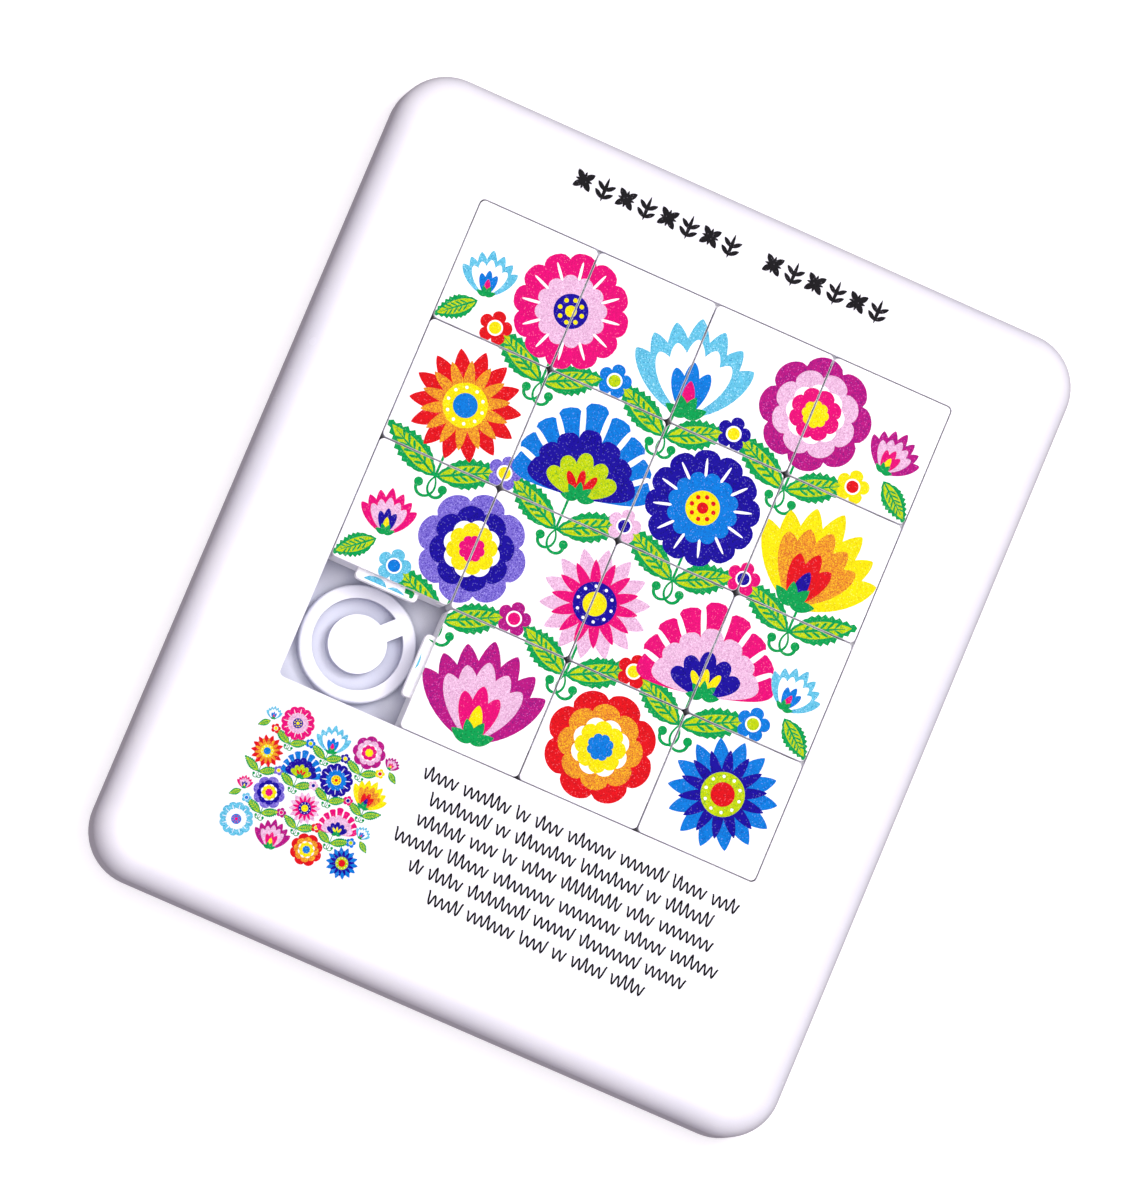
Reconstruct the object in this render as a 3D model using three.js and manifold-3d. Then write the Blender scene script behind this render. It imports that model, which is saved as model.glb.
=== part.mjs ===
// Sliding tile puzzle: a flat case with a square bed of 4 by 4 cells, 15 sliding tiles and one empty cell.
// Millimetres, +Z up. The origin is the centre of the case's back face, on the surface that it rests on.
// +X runs to the right of the picture and +Y towards the puzzle's top edge.
import * as THREE from 'three';
import { mergeVertices } from 'three/addons/utils/BufferGeometryUtils.js';
import Module from 'manifold-3d';

const wasm = await Module();
wasm.setup();

// Case
const CASE_WIDTH = 80;
const CASE_LENGTH = 94;
const CASE_HEIGHT = 8;
const CASE_CORNER = 6; // radius of the corners in plan
const CASE_EDGE = 3.2; // radius of the edge round the top face
const CASE_WALL = 1.6;
const FACE_THICKNESS = 1.8;
const RIM_LIFT = 0.2; // the back cover stands this far proud of the bezel's rim

// Bed of cells
const CELLS = 4;
const PITCH = 14;
const FIELD_Y = 7.5; // centre of the bed, measured from the centre of the case
const WINDOW = CELLS * PITCH + 0.2;
const WINDOW_CORNER = 0.6;
const WINDOW_WALL = 2.4;
const WALL_CORNER = 1;
const EMPTY_ROW = 4;
const EMPTY_COLUMN = 1;

// Tiles
const TILE = 13.85;
const TILE_BOTTOM = 3.2;
const TILE_CORNER = 0.5;
const TILE_CHAMFER = 0.3;
const POCKET = 9.4; // square hollow in the underside
const POCKET_DEPTH = 2.2;
const POCKET_CORNER = 1;

// Tongue and groove that hold neighbouring tiles together
const TONGUE_LENGTH = 7.2;
const TONGUE_REACH = 1.1;
const TONGUE_THICKNESS = 1;
const TONGUE_MIDDLE = 6.6; // height of the tongue's middle plane
const TONGUE_CORNER = 0.5;
const GROOVE_DEPTH = 1.3;
const GROOVE_HEIGHT = 1.5;
const RAIL_END_GAP = 0.5;

// Back cover
const COVER_THICKNESS = 1.4;
const COVER_GAP = 0.2;
const FLOOR_GAP = 0.2; // between the cover and the bezel's inner walls
const BOSS_TOP = 3;
const BOSS_RADIUS = 6.45;
const CHANNEL_OUTER = 4.95;
const CHANNEL_INNER = 3.25;
const SPOKE_WIDTH = 2;
const SPOKE_ANGLE = Math.PI / 4;

// Press pegs of the cover and the sockets under the bezel
const PEG_RADIUS = 1;
const PEG_TOP = 5;
const SOCKET_RADIUS = 2.4;
const SOCKET_BORE = 1.25;
const SOCKET_TOP = 5.5;
const PEG_PLACES = [
  [-34.2, 41.4],
  [34.2, 41.4],
  [-34.4, FIELD_Y],
  [34.4, FIELD_Y],
  [-34.2, -41.4],
  [34.2, -41.4],
  [0, -36],
];

// Stiffening ribs under the lower panel
const RIB_THICKNESS = 1;
const RIB_PLACES = [-18, 18];

const ARC_STEPS = 10; // each arc of a round feature has twice as many sides
const CORNER_STEPS = 3;
const OVERLAP = 0.5; // how far joined shapes run into each other

// Turns a closed three.js geometry into a solid that can be joined and cut.
function solid(geometry) {
  const bare = geometry.clone();
  bare.deleteAttribute('normal');
  bare.deleteAttribute('uv');
  const merged = mergeVertices(bare, 1e-4);
  return new wasm.Manifold(new wasm.Mesh({
    numProp: 3,
    vertProperties: new Float32Array(merged.attributes.position.array),
    triVerts: new Uint32Array(merged.index.array),
  }));
}

function geometryOf(shape) {
  const mesh = shape.getMesh();
  const geometry = new THREE.BufferGeometry();
  geometry.setAttribute('position', new THREE.BufferAttribute(mesh.vertProperties, 3));
  geometry.setIndex(new THREE.BufferAttribute(mesh.triVerts, 1));
  geometry.computeVertexNormals();
  return geometry;
}

function roundedRectangle(width, length, radius) {
  const x = width / 2 - radius;
  const y = length / 2 - radius;
  const shape = new THREE.Shape();
  shape.absarc(x, y, radius, 0, Math.PI / 2);
  shape.absarc(-x, y, radius, Math.PI / 2, Math.PI);
  shape.absarc(-x, -y, radius, Math.PI, 1.5 * Math.PI);
  shape.absarc(x, -y, radius, 1.5 * Math.PI, 2 * Math.PI);
  return shape;
}

function prism(shape, bottom, top, curveSegments = CORNER_STEPS) {
  const geometry = new THREE.ExtrudeGeometry(shape, {
    depth: top - bottom,
    bevelEnabled: false,
    curveSegments,
  });
  return solid(geometry.translate(0, 0, bottom));
}

function box(low, high) {
  const geometry = new THREE.BoxGeometry(high[0] - low[0], high[1] - low[1], high[2] - low[2]);
  return solid(geometry.translate(
    (low[0] + high[0]) / 2,
    (low[1] + high[1]) / 2,
    (low[2] + high[2]) / 2,
  ));
}

function cylinder(radius, bottom, top) {
  const geometry = new THREE.CylinderGeometry(radius, radius, top - bottom, 2 * ARC_STEPS);
  return solid(geometry.rotateX(Math.PI / 2).translate(0, 0, (bottom + top) / 2));
}

function joinAll(shapes) {
  return shapes.reduce((joined, shape) => joined.add(shape));
}

function cutAll(body, shapes) {
  return shapes.reduce((cut, shape) => cut.subtract(shape), body);
}

function cellCentre(row, column) {
  const middle = (CELLS + 1) / 2;
  return [(column - middle) * PITCH, FIELD_Y + (middle - row) * PITCH];
}

// The outer block of the case: upright walls below, and a rounded edge round the top face.
function caseBlock() {
  const geometry = new THREE.ExtrudeGeometry(roundedRectangle(CASE_WIDTH, CASE_LENGTH, CASE_CORNER), {
    depth: CASE_HEIGHT - CASE_EDGE,
    bevelThickness: CASE_EDGE,
    bevelSize: CASE_EDGE,
    bevelOffset: -CASE_EDGE,
    bevelSegments: 5,
    curveSegments: CORNER_STEPS,
  });
  const below = box(
    [-CASE_WIDTH, -CASE_LENGTH, -2 * CASE_EDGE],
    [CASE_WIDTH, CASE_LENGTH, RIM_LIFT],
  );
  return solid(geometry).subtract(below);
}

// Grooves in the window's left and lower walls take the tongues of the outer tiles.
function windowGrooves() {
  const half = WINDOW / 2;
  const low = TONGUE_MIDDLE - GROOVE_HEIGHT / 2;
  const high = TONGUE_MIDDLE + GROOVE_HEIGHT / 2;
  return [
    box(
      [-half - GROOVE_DEPTH, FIELD_Y - half, low],
      [-half + OVERLAP, FIELD_Y + half, high],
    ),
    box(
      [-half, FIELD_Y - half - GROOVE_DEPTH, low],
      [half, FIELD_Y - half + OVERLAP, high],
    ),
  ];
}

// Rails on the window's right and upper walls run in the grooves of the outer tiles.
function windowRails() {
  const half = WINDOW / 2;
  const low = TONGUE_MIDDLE - TONGUE_THICKNESS / 2;
  const high = TONGUE_MIDDLE + TONGUE_THICKNESS / 2;
  return [
    box(
      [half - TONGUE_REACH, FIELD_Y - half + RAIL_END_GAP, low],
      [half + OVERLAP, FIELD_Y + half + OVERLAP, high],
    ),
    box(
      [-half + RAIL_END_GAP, FIELD_Y + half - TONGUE_REACH, low],
      [half + OVERLAP, FIELD_Y + half + OVERLAP, high],
    ),
  ];
}

function frontBezel() {
  const faceBottom = CASE_HEIGHT - FACE_THICKNESS;
  const floor = COVER_THICKNESS + FLOOR_GAP;
  const cavity = prism(
    roundedRectangle(CASE_WIDTH - 2 * CASE_WALL, CASE_LENGTH - 2 * CASE_WALL, CASE_CORNER - CASE_WALL),
    -OVERLAP,
    faceBottom,
  );
  const wallSize = WINDOW + 2 * WINDOW_WALL;
  const walls = prism(roundedRectangle(wallSize, wallSize, WALL_CORNER), floor, faceBottom + OVERLAP)
    .translate([0, FIELD_Y, 0]);
  const sockets = PEG_PLACES.map(([x, y]) => (
    cylinder(SOCKET_RADIUS, floor, faceBottom + OVERLAP).translate([x, y, 0])
  ));
  const bores = PEG_PLACES.map(([x, y]) => (
    cylinder(SOCKET_BORE, -OVERLAP, SOCKET_TOP).translate([x, y, 0])
  ));
  const ribTop = FIELD_Y - wallSize / 2 + OVERLAP;
  const ribBottom = -CASE_LENGTH / 2 + CASE_WALL - OVERLAP;
  const ribs = RIB_PLACES.map((x) => box(
    [x - RIB_THICKNESS / 2, ribBottom, floor],
    [x + RIB_THICKNESS / 2, ribTop, faceBottom + OVERLAP],
  ));
  const window = prism(roundedRectangle(WINDOW, WINDOW, WINDOW_CORNER), -OVERLAP, CASE_HEIGHT + OVERLAP)
    .translate([0, FIELD_Y, 0]);
  const shell = joinAll([caseBlock().subtract(cavity), walls, ...ribs, ...sockets]);
  return joinAll([cutAll(shell, [...bores, window, ...windowGrooves()]), ...windowRails()]);
}

// One bearing boss of the bed: an outer ring and a hub, with a C-shaped channel between them.
// The channel stops at both sides of one spoke.
function bearingBoss() {
  const outerSpoke = Math.asin(SPOKE_WIDTH / 2 / CHANNEL_OUTER);
  const innerSpoke = Math.asin(SPOKE_WIDTH / 2 / CHANNEL_INNER);
  const turn = 2 * Math.PI;
  const shape = new THREE.Shape();
  shape.absarc(0, 0, BOSS_RADIUS, 0, turn);
  const channel = new THREE.Path();
  channel.absarc(0, 0, CHANNEL_OUTER, SPOKE_ANGLE + outerSpoke, SPOKE_ANGLE + turn - outerSpoke, false);
  channel.absarc(0, 0, CHANNEL_INNER, SPOKE_ANGLE + turn - innerSpoke, SPOKE_ANGLE + innerSpoke, true);
  shape.holes.push(channel);
  return prism(shape, COVER_THICKNESS - OVERLAP, BOSS_TOP, ARC_STEPS);
}

function backCover() {
  const inset = CASE_WALL + COVER_GAP;
  const plate = prism(
    roundedRectangle(CASE_WIDTH - 2 * inset, CASE_LENGTH - 2 * inset, CASE_CORNER - inset),
    0,
    COVER_THICKNESS,
  );
  const boss = bearingBoss();
  const bosses = [];
  for (let row = 1; row <= CELLS; row += 1) {
    for (let column = 1; column <= CELLS; column += 1) {
      const [x, y] = cellCentre(row, column);
      bosses.push(boss.translate([x, y, 0]));
    }
  }
  const pegs = PEG_PLACES.map(([x, y]) => (
    cylinder(PEG_RADIUS, COVER_THICKNESS - OVERLAP, PEG_TOP).translate([x, y, 0])
  ));
  return joinAll([plate, ...bosses, ...pegs]);
}

// A tile about its own centre: tongues on its left and lower sides, and grooves along the other two.
function tile() {
  const half = TILE / 2;
  const geometry = new THREE.ExtrudeGeometry(roundedRectangle(TILE, TILE, TILE_CORNER), {
    depth: CASE_HEIGHT - TILE_BOTTOM - 2 * TILE_CHAMFER,
    bevelThickness: TILE_CHAMFER,
    bevelSize: TILE_CHAMFER,
    bevelOffset: -TILE_CHAMFER,
    bevelSegments: 1,
    curveSegments: 1,
  });
  const body = solid(geometry.translate(0, 0, TILE_BOTTOM + TILE_CHAMFER));
  const pocket = prism(
    roundedRectangle(POCKET, POCKET, POCKET_CORNER),
    TILE_BOTTOM - OVERLAP,
    TILE_BOTTOM + POCKET_DEPTH,
    1,
  );
  const low = TONGUE_MIDDLE - GROOVE_HEIGHT / 2;
  const high = TONGUE_MIDDLE + GROOVE_HEIGHT / 2;
  const past = half + OVERLAP;
  const rightGroove = box([half - GROOVE_DEPTH, -past, low], [past, past, high]);
  const upperGroove = box([-past, half - GROOVE_DEPTH, low], [past, past, high]);
  const tongue = prism(
    roundedRectangle(2 * TONGUE_REACH, TONGUE_LENGTH, TONGUE_CORNER),
    TONGUE_MIDDLE - TONGUE_THICKNESS / 2,
    TONGUE_MIDDLE + TONGUE_THICKNESS / 2,
    1,
  );
  const leftTongue = tongue.translate([-half, 0, 0]);
  const lowerTongue = tongue.rotate([0, 0, 90]).translate([0, -half, 0]);
  return joinAll([cutAll(body, [pocket, rightGroove, upperGroove]), leftTongue, lowerTongue]);
}

function plastic(colour, roughness) {
  return new THREE.MeshStandardMaterial({ color: colour, roughness, metalness: 0 });
}

function named(name, geometry, material) {
  const mesh = new THREE.Mesh(geometry, material);
  mesh.name = name;
  return mesh;
}

const puzzle = new THREE.Group();
puzzle.add(named('front_bezel', geometryOf(frontBezel()), plastic(0xf4f4f3, 0.22)));
puzzle.add(named('back_cover', geometryOf(backCover()), plastic(0xefefee, 0.35)));

const tileGeometry = geometryOf(tile());
for (let row = 1; row <= CELLS; row += 1) {
  for (let column = 1; column <= CELLS; column += 1) {
    if (row !== EMPTY_ROW || column !== EMPTY_COLUMN) {
      const piece = named(`tile_row${row}_col${column}`, tileGeometry, plastic(0xf6f6f5, 0.3));
      const [x, y] = cellCentre(row, column);
      piece.position.set(x, y, 0);
      puzzle.add(piece);
    }
  }
}

export default puzzle;
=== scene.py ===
"""Sliding tile puzzle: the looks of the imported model. Metres, in the model's own frame."""
import math
import random

import bmesh
import bpy
from mathutils import Matrix, Vector
from mathutils.geometry import delaunay_2d_cdt


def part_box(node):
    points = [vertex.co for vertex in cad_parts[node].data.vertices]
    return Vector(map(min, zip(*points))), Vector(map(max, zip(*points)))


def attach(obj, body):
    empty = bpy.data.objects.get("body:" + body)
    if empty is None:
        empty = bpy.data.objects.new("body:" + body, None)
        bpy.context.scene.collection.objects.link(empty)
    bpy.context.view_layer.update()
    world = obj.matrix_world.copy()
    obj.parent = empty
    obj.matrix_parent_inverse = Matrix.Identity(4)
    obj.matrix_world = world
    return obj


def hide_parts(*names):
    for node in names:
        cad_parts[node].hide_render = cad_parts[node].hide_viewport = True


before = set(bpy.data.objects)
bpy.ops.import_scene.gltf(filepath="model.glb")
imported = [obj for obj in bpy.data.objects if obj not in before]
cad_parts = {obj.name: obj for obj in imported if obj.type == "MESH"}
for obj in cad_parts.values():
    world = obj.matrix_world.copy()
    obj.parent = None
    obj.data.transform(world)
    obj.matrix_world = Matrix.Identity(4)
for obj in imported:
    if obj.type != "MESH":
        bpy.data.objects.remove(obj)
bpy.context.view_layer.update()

MM = 0.001

# ---- sizes taken from the frame ----
CELLS = 4
CASE_LOW, CASE_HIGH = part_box("front_bezel")
COVER_LOW, COVER_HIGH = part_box("back_cover")
CORNER_TILE_LOW, CORNER_TILE_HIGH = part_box("tile_row1_col1")
FACE_Z = CASE_HIGH.z
TILE_BOTTOM = CORNER_TILE_LOW.z
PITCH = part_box("tile_row1_col2")[1].x - CORNER_TILE_HIGH.x

# ---- small features: the CAD's, with softer edges and a finer gap round the tiles ----
TONGUE_REACH = 1.1 * MM
TONGUE_LENGTH = 7.2 * MM
TONGUE_THICKNESS = 1.0 * MM
TONGUE_Z = 6.6 * MM
TONGUE_CORNER = 0.5 * MM
TONGUE_EDGE = 0.15 * MM
TONGUE_LOW, TONGUE_HIGH = TONGUE_Z - TONGUE_THICKNESS / 2, TONGUE_Z + TONGUE_THICKNESS / 2
GROOVE_DEPTH = 1.3 * MM
GROOVE_HEIGHT = 1.5 * MM
GROOVE_LOW, GROOVE_HIGH = TONGUE_Z - GROOVE_HEIGHT / 2, TONGUE_Z + GROOVE_HEIGHT / 2
TILE = CORNER_TILE_HIGH.x - CORNER_TILE_LOW.x - TONGUE_REACH
TILE_CORNER = 0.55 * MM
TILE_EDGE = 0.11 * MM
TILE_EDGE_STEPS = 5
TILE_FOOT_EDGE = 0.2 * MM
POCKET = 9.4 * MM
POCKET_DEPTH = 2.2 * MM
POCKET_CORNER = 1 * MM
WINDOW_MARGIN = 0.04 * MM  # the window is this much wider than the field of cells on every side
WINDOW = CELLS * PITCH + 2 * WINDOW_MARGIN
WINDOW_CORNER = 0.6 * MM
WINDOW_EDGE = 0.05 * MM
WINDOW_WALL = 2.4 * MM
WALL_CORNER = 1 * MM
RAIL_END_GAP = 0.5 * MM
CASE_CORNER = 6 * MM
CASE_EDGE = 3.2 * MM
CASE_FOOT_EDGE = 0.25 * MM
CASE_WALL = 1.6 * MM
CAVITY_EDGE = 0.5 * MM
FACE_THICKNESS = 1.8 * MM
FACE_BOTTOM = FACE_Z - FACE_THICKNESS
FLOOR_GAP = 0.2 * MM
COVER_THICKNESS = 1.4 * MM
COVER_EDGE = 0.15 * MM
COVER_FOOT_EDGE = 0.25 * MM
BED_FLOOR = COVER_THICKNESS + FLOOR_GAP  # where the bezel's inner walls end
BOSS_TOP = 3 * MM
BOSS_RADIUS = 6.45 * MM
BOSS_EDGE = 0.3 * MM
CHANNEL_OUTER = 4.95 * MM
CHANNEL_INNER = 3.25 * MM
CHANNEL_EDGE = 0.12 * MM
SPOKE_WIDTH = 2 * MM
SPOKE_ANGLE = math.radians(45)
PEG_RADIUS = 1 * MM
PEG_EDGE = 0.3 * MM
SOCKET_RADIUS = 2.4 * MM
SOCKET_BORE = 1.25 * MM
SOCKET_TOP = 5.5 * MM
RIB_THICKNESS = 1 * MM
RIB_X = 18 * MM
GATE_RADIUS, GATE_DEPTH = 0.9 * MM, 0.2 * MM
EJECTOR_RADIUS, EJECTOR_DEPTH = 1.6 * MM, 0.06 * MM
INK_THICKNESS = 0.02 * MM
OVER = 1 * MM  # how far a cutting shape reaches past the body that it cuts
ROOT = 0.5 * MM  # how far a joined shape reaches into the body that it stands on

FIELD_LEFT = CORNER_TILE_HIGH.x - TILE / 2 - PITCH / 2
FIELD_TOP = CORNER_TILE_HIGH.y - TILE / 2 + PITCH / 2
FIELD_BOTTOM = FIELD_TOP - CELLS * PITCH
FIELD_X = FIELD_LEFT + CELLS * PITCH / 2
FIELD_Y = FIELD_TOP - CELLS * PITCH / 2
CELL_PLACES = [(row, column) for row in range(1, CELLS + 1) for column in range(1, CELLS + 1)]
EMPTY_CELL = (4, 1)
PEG_PLACES = [(34.2 * side * MM, 41.4 * end * MM) for side in (-1, 1) for end in (-1, 1)]
PEG_PLACES += [(34.4 * side * MM, FIELD_Y) for side in (-1, 1)] + [(0, -36 * MM)]
GATE_PLACE = (0, -8 * MM)
EJECTOR_STEP = 30 * MM
EJECTOR_PLACES = [(x * EJECTOR_STEP, GATE_PLACE[1] + y * EJECTOR_STEP)
                  for x in (-1, 0, 1) for y in (-1, 0, 1) if x or y]


def cell_centre(row, column):
    return FIELD_LEFT + (column - 0.5) * PITCH, FIELD_TOP - (row - 0.5) * PITCH


# ---- mesh building ----
CUT, JOIN = "DIFFERENCE", "UNION"
TOUCHING = 1e-7  # points nearer than this are one point
SHARP = math.radians(32)


def rounded_rectangle(width, length, radius, steps=6, centre=(0, 0)):
    """The outline of a rectangle with round corners, anticlockwise."""
    points = []
    corners = ((1, 1), (-1, 1), (-1, -1), (1, -1))
    for quarter, (sx, sy) in enumerate(corners):
        middle_x = centre[0] + sx * (width / 2 - radius)
        middle_y = centre[1] + sy * (length / 2 - radius)
        for step in range(steps + 1):
            angle = math.pi / 2 * (quarter + step / steps)
            points.append((middle_x + radius * math.cos(angle), middle_y + radius * math.sin(angle)))
    return points


def circle(radius, steps=48, centre=(0, 0)):
    """The outline of a circle, anticlockwise."""
    turns = [2 * math.pi * step / steps for step in range(steps)]
    return [(centre[0] + radius * math.cos(t), centre[1] + radius * math.sin(t)) for t in turns]


def with_next(loop):
    """Each item of a closed loop, with the one after it."""
    return zip(loop, loop[1:] + loop[:1])


def join_loops(mesh, lower, upper):
    """Faces between two loops of corners, anticlockwise as seen from outside."""
    pairs = with_next(list(zip(lower, upper)))
    return [mesh.faces.new((a, b, d, c)) for (a, c), (b, d) in pairs]


def loft(rings):
    """A closed mesh through rings of (x, y) points, each given with its height, from the bottom up."""
    mesh = bmesh.new()
    loops = [[mesh.verts.new((x, y, z)) for x, y in outline] for outline, z in rings]
    for lower, upper in zip(loops, loops[1:]):
        join_loops(mesh, lower, upper)
    mesh.faces.new(loops[0][::-1])
    mesh.faces.new(loops[-1])
    return mesh


def merged(meshes):
    """One mesh that holds several."""
    whole = bmesh.new()
    for mesh in meshes:
        part = bpy.data.meshes.new("part")
        mesh.to_mesh(part)
        mesh.free()
        whole.from_mesh(part)
        bpy.data.meshes.remove(part)
    return whole


def moved(mesh, x, y, turn=0.0):
    """Turns a mesh about the Z axis, then shifts it."""
    bmesh.ops.rotate(mesh, verts=mesh.verts, cent=(0, 0, 0), matrix=Matrix.Rotation(turn, 3, "Z"))
    bmesh.ops.translate(mesh, verts=mesh.verts, vec=(x, y, 0))
    return mesh


def in_scene(name, data):
    """A new object in the scene with this mesh, lamp or camera data."""
    made = bpy.data.objects.new(name, data)
    bpy.context.scene.collection.objects.link(made)
    return made


def as_object(name, mesh):
    data = bpy.data.meshes.new(name)
    mesh.to_mesh(data)
    mesh.free()
    return in_scene(name, data)


def with_booleans(body, steps):
    """Joins and cuts a body by each (operation, mesh) in turn, and keeps the result as its mesh."""
    tools = []
    for number, (operation, mesh) in enumerate(steps):
        tool = as_object(f"tool_{number}", mesh)
        tools.append(tool)
        change = body.modifiers.new(f"change_{number}", "BOOLEAN")
        change.object = tool
        change.operation = operation
        change.solver = "MANIFOLD"
    bpy.context.view_layer.update()
    evaluated = body.evaluated_get(bpy.context.evaluated_depsgraph_get())
    result = bpy.data.meshes.new_from_object(evaluated)
    body.modifiers.clear()
    old = body.data
    body.data = result
    bpy.data.meshes.remove(old)
    for tool in tools:
        bpy.data.objects.remove(tool)


def shade_by_angle(body):
    """Smooth shading over round edges, and sharp edges where faces meet at more than SHARP."""
    mesh = bmesh.new()
    mesh.from_mesh(body.data)
    bmesh.ops.remove_doubles(mesh, verts=mesh.verts, dist=TOUCHING)
    bmesh.ops.dissolve_degenerate(mesh, edges=mesh.edges, dist=TOUCHING)
    for face in mesh.faces:
        face.smooth = True
    for edge in mesh.edges:
        edge.smooth = not edge.is_manifold or edge.calc_face_angle(0) < SHARP
    mesh.to_mesh(body.data)
    mesh.free()
    weighted = body.modifiers.new("flat_faces_lead", "WEIGHTED_NORMAL")
    weighted.keep_sharp = True
    weighted.weight = 100


# ---- materials ----
def srgb(*shade):
    """A display colour, 0 to 255, as the linear colour that a shader takes."""
    shares = [part / 255 for part in shade]
    return tuple(s / 12.92 if s <= 0.04045 else ((s + 0.055) / 1.055) ** 2.4 for s in shares) + (1,)


def node(tree, kind, values=None, **settings):
    """Adds one shader node. Each value is a number, a colour or another node's output."""
    made = tree.nodes.new("ShaderNode" + kind)
    for key, setting in settings.items():
        setattr(made, key, setting)
    for key, value in (values or {}).items():
        if isinstance(value, bpy.types.NodeSocket):
            tree.links.new(value, made.inputs[key])
        else:
            made.inputs[key].default_value = value
    return made


def maths(tree, operation, first, second=0.0, third=0.0):
    """One step of arithmetic, as that node's output."""
    return node(tree, "Math", {0: first, 1: second, 2: third}, operation=operation).outputs[0]


def ramp(tree, value, low, high, start=0.0, end=1.0):
    """Maps low..high to start..end, held at both ends."""
    values = {"Value": value, "From Min": low, "From Max": high, "To Min": start, "To Max": end}
    return node(tree, "MapRange", values).outputs["Result"]


def blend_colour(tree, share, first, second):
    """Goes from the first colour to the second as share goes from 0 to 1."""
    values = {"Factor": share, 6: first, 7: second}  # 6 and 7 are the colour sockets
    return node(tree, "Mix", values, data_type="RGBA").outputs[2]


def new_material(name):
    """An empty material and its node tree."""
    made = bpy.data.materials.new(name)
    made.use_nodes = True
    made.node_tree.nodes.clear()
    return made, made.node_tree


def finish_shader(tree, values):
    """Ends a material in one Principled shader with these values."""
    shader = node(tree, "BsdfPrincipled", values)
    output = node(tree, "OutputMaterial")
    tree.links.new(shader.outputs[0], output.inputs["Surface"])


FARTHEST_SHIFT = 3.7  # metres, so that no two pieces show the same part of a noise


def own_place(tree):
    """A point on the piece in metres, shifted by an amount of its own for each piece."""
    place = node(tree, "TexCoord").outputs["Object"]
    chance = node(tree, "ObjectInfo").outputs["Random"]
    far = maths(tree, "MULTIPLY", chance, FARTHEST_SHIFT)
    shift = node(tree, "CombineXYZ", {0: far, 1: chance, 2: 0.0})
    return node(tree, "VectorMath", {0: place, 1: shift.outputs[0]}, operation="ADD").outputs[0]


def noise(tree, place, scale, detail=2.0, roughness=0.5):
    """Soft noise from 0 to 1, with scale features per metre."""
    values = {"Vector": place, "Scale": scale, "Detail": detail, "Roughness": roughness}
    return node(tree, "TexNoise", values).outputs["Fac"]


FLOW_SCALE = 70  # broad shading where the plastic flowed, in features per metre
RIPPLE_SCALE = 900  # orange peel
GRAIN_SCALE = 6500  # the mould's fine grain
SCRATCH_SCALE, SCRATCH_STRETCH, SCRATCH_TURN = 260, 24, 0.7
BUMP_DEPTH = 0.006 * MM
RUBBED_EDGE, RUBBED_COLOUR = 0.35 * MM, srgb(242, 242, 244)
# painted shade: the reach and mauve grey of the darkening that ambient occlusion lays into corners and
# seams
CORNER_SHADE_REACH, CORNER_SHADE_COLOUR = 0.8 * MM, srgb(160, 154, 170)
# painted shade: the reach and bluish grey of the darkening that ambient occlusion lays into wide recesses
RECESS_SHADE_REACH, RECESS_SHADE_COLOUR = 3 * MM, srgb(108, 116, 156)


def rubbed_edges(tree, grain):
    """How much a point on an edge is rubbed pale, broken up by the grain."""
    soft_edge = node(tree, "Bevel", {"Radius": RUBBED_EDGE}, samples=4).outputs[0]
    facing = node(tree, "NewGeometry").outputs["Normal"]
    along = node(tree, "VectorMath", {0: soft_edge, 1: facing}, operation="DOT_PRODUCT").outputs["Value"]
    return maths(tree, "MULTIPLY", ramp(tree, along, 0.995, 0.93), ramp(tree, grain, 0.35, 0.6))


def painted_corner_shade(tree, flow):
    """How much painted shade darkens a corner, more in some places than in others."""
    corner = node(tree, "AmbientOcclusion", {"Distance": CORNER_SHADE_REACH}, samples=4).outputs["AO"]
    return maths(tree, "MULTIPLY", ramp(tree, corner, 0.55, 0.2), ramp(tree, flow, 0.4, 0.65, 0.04, 0.18))


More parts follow.
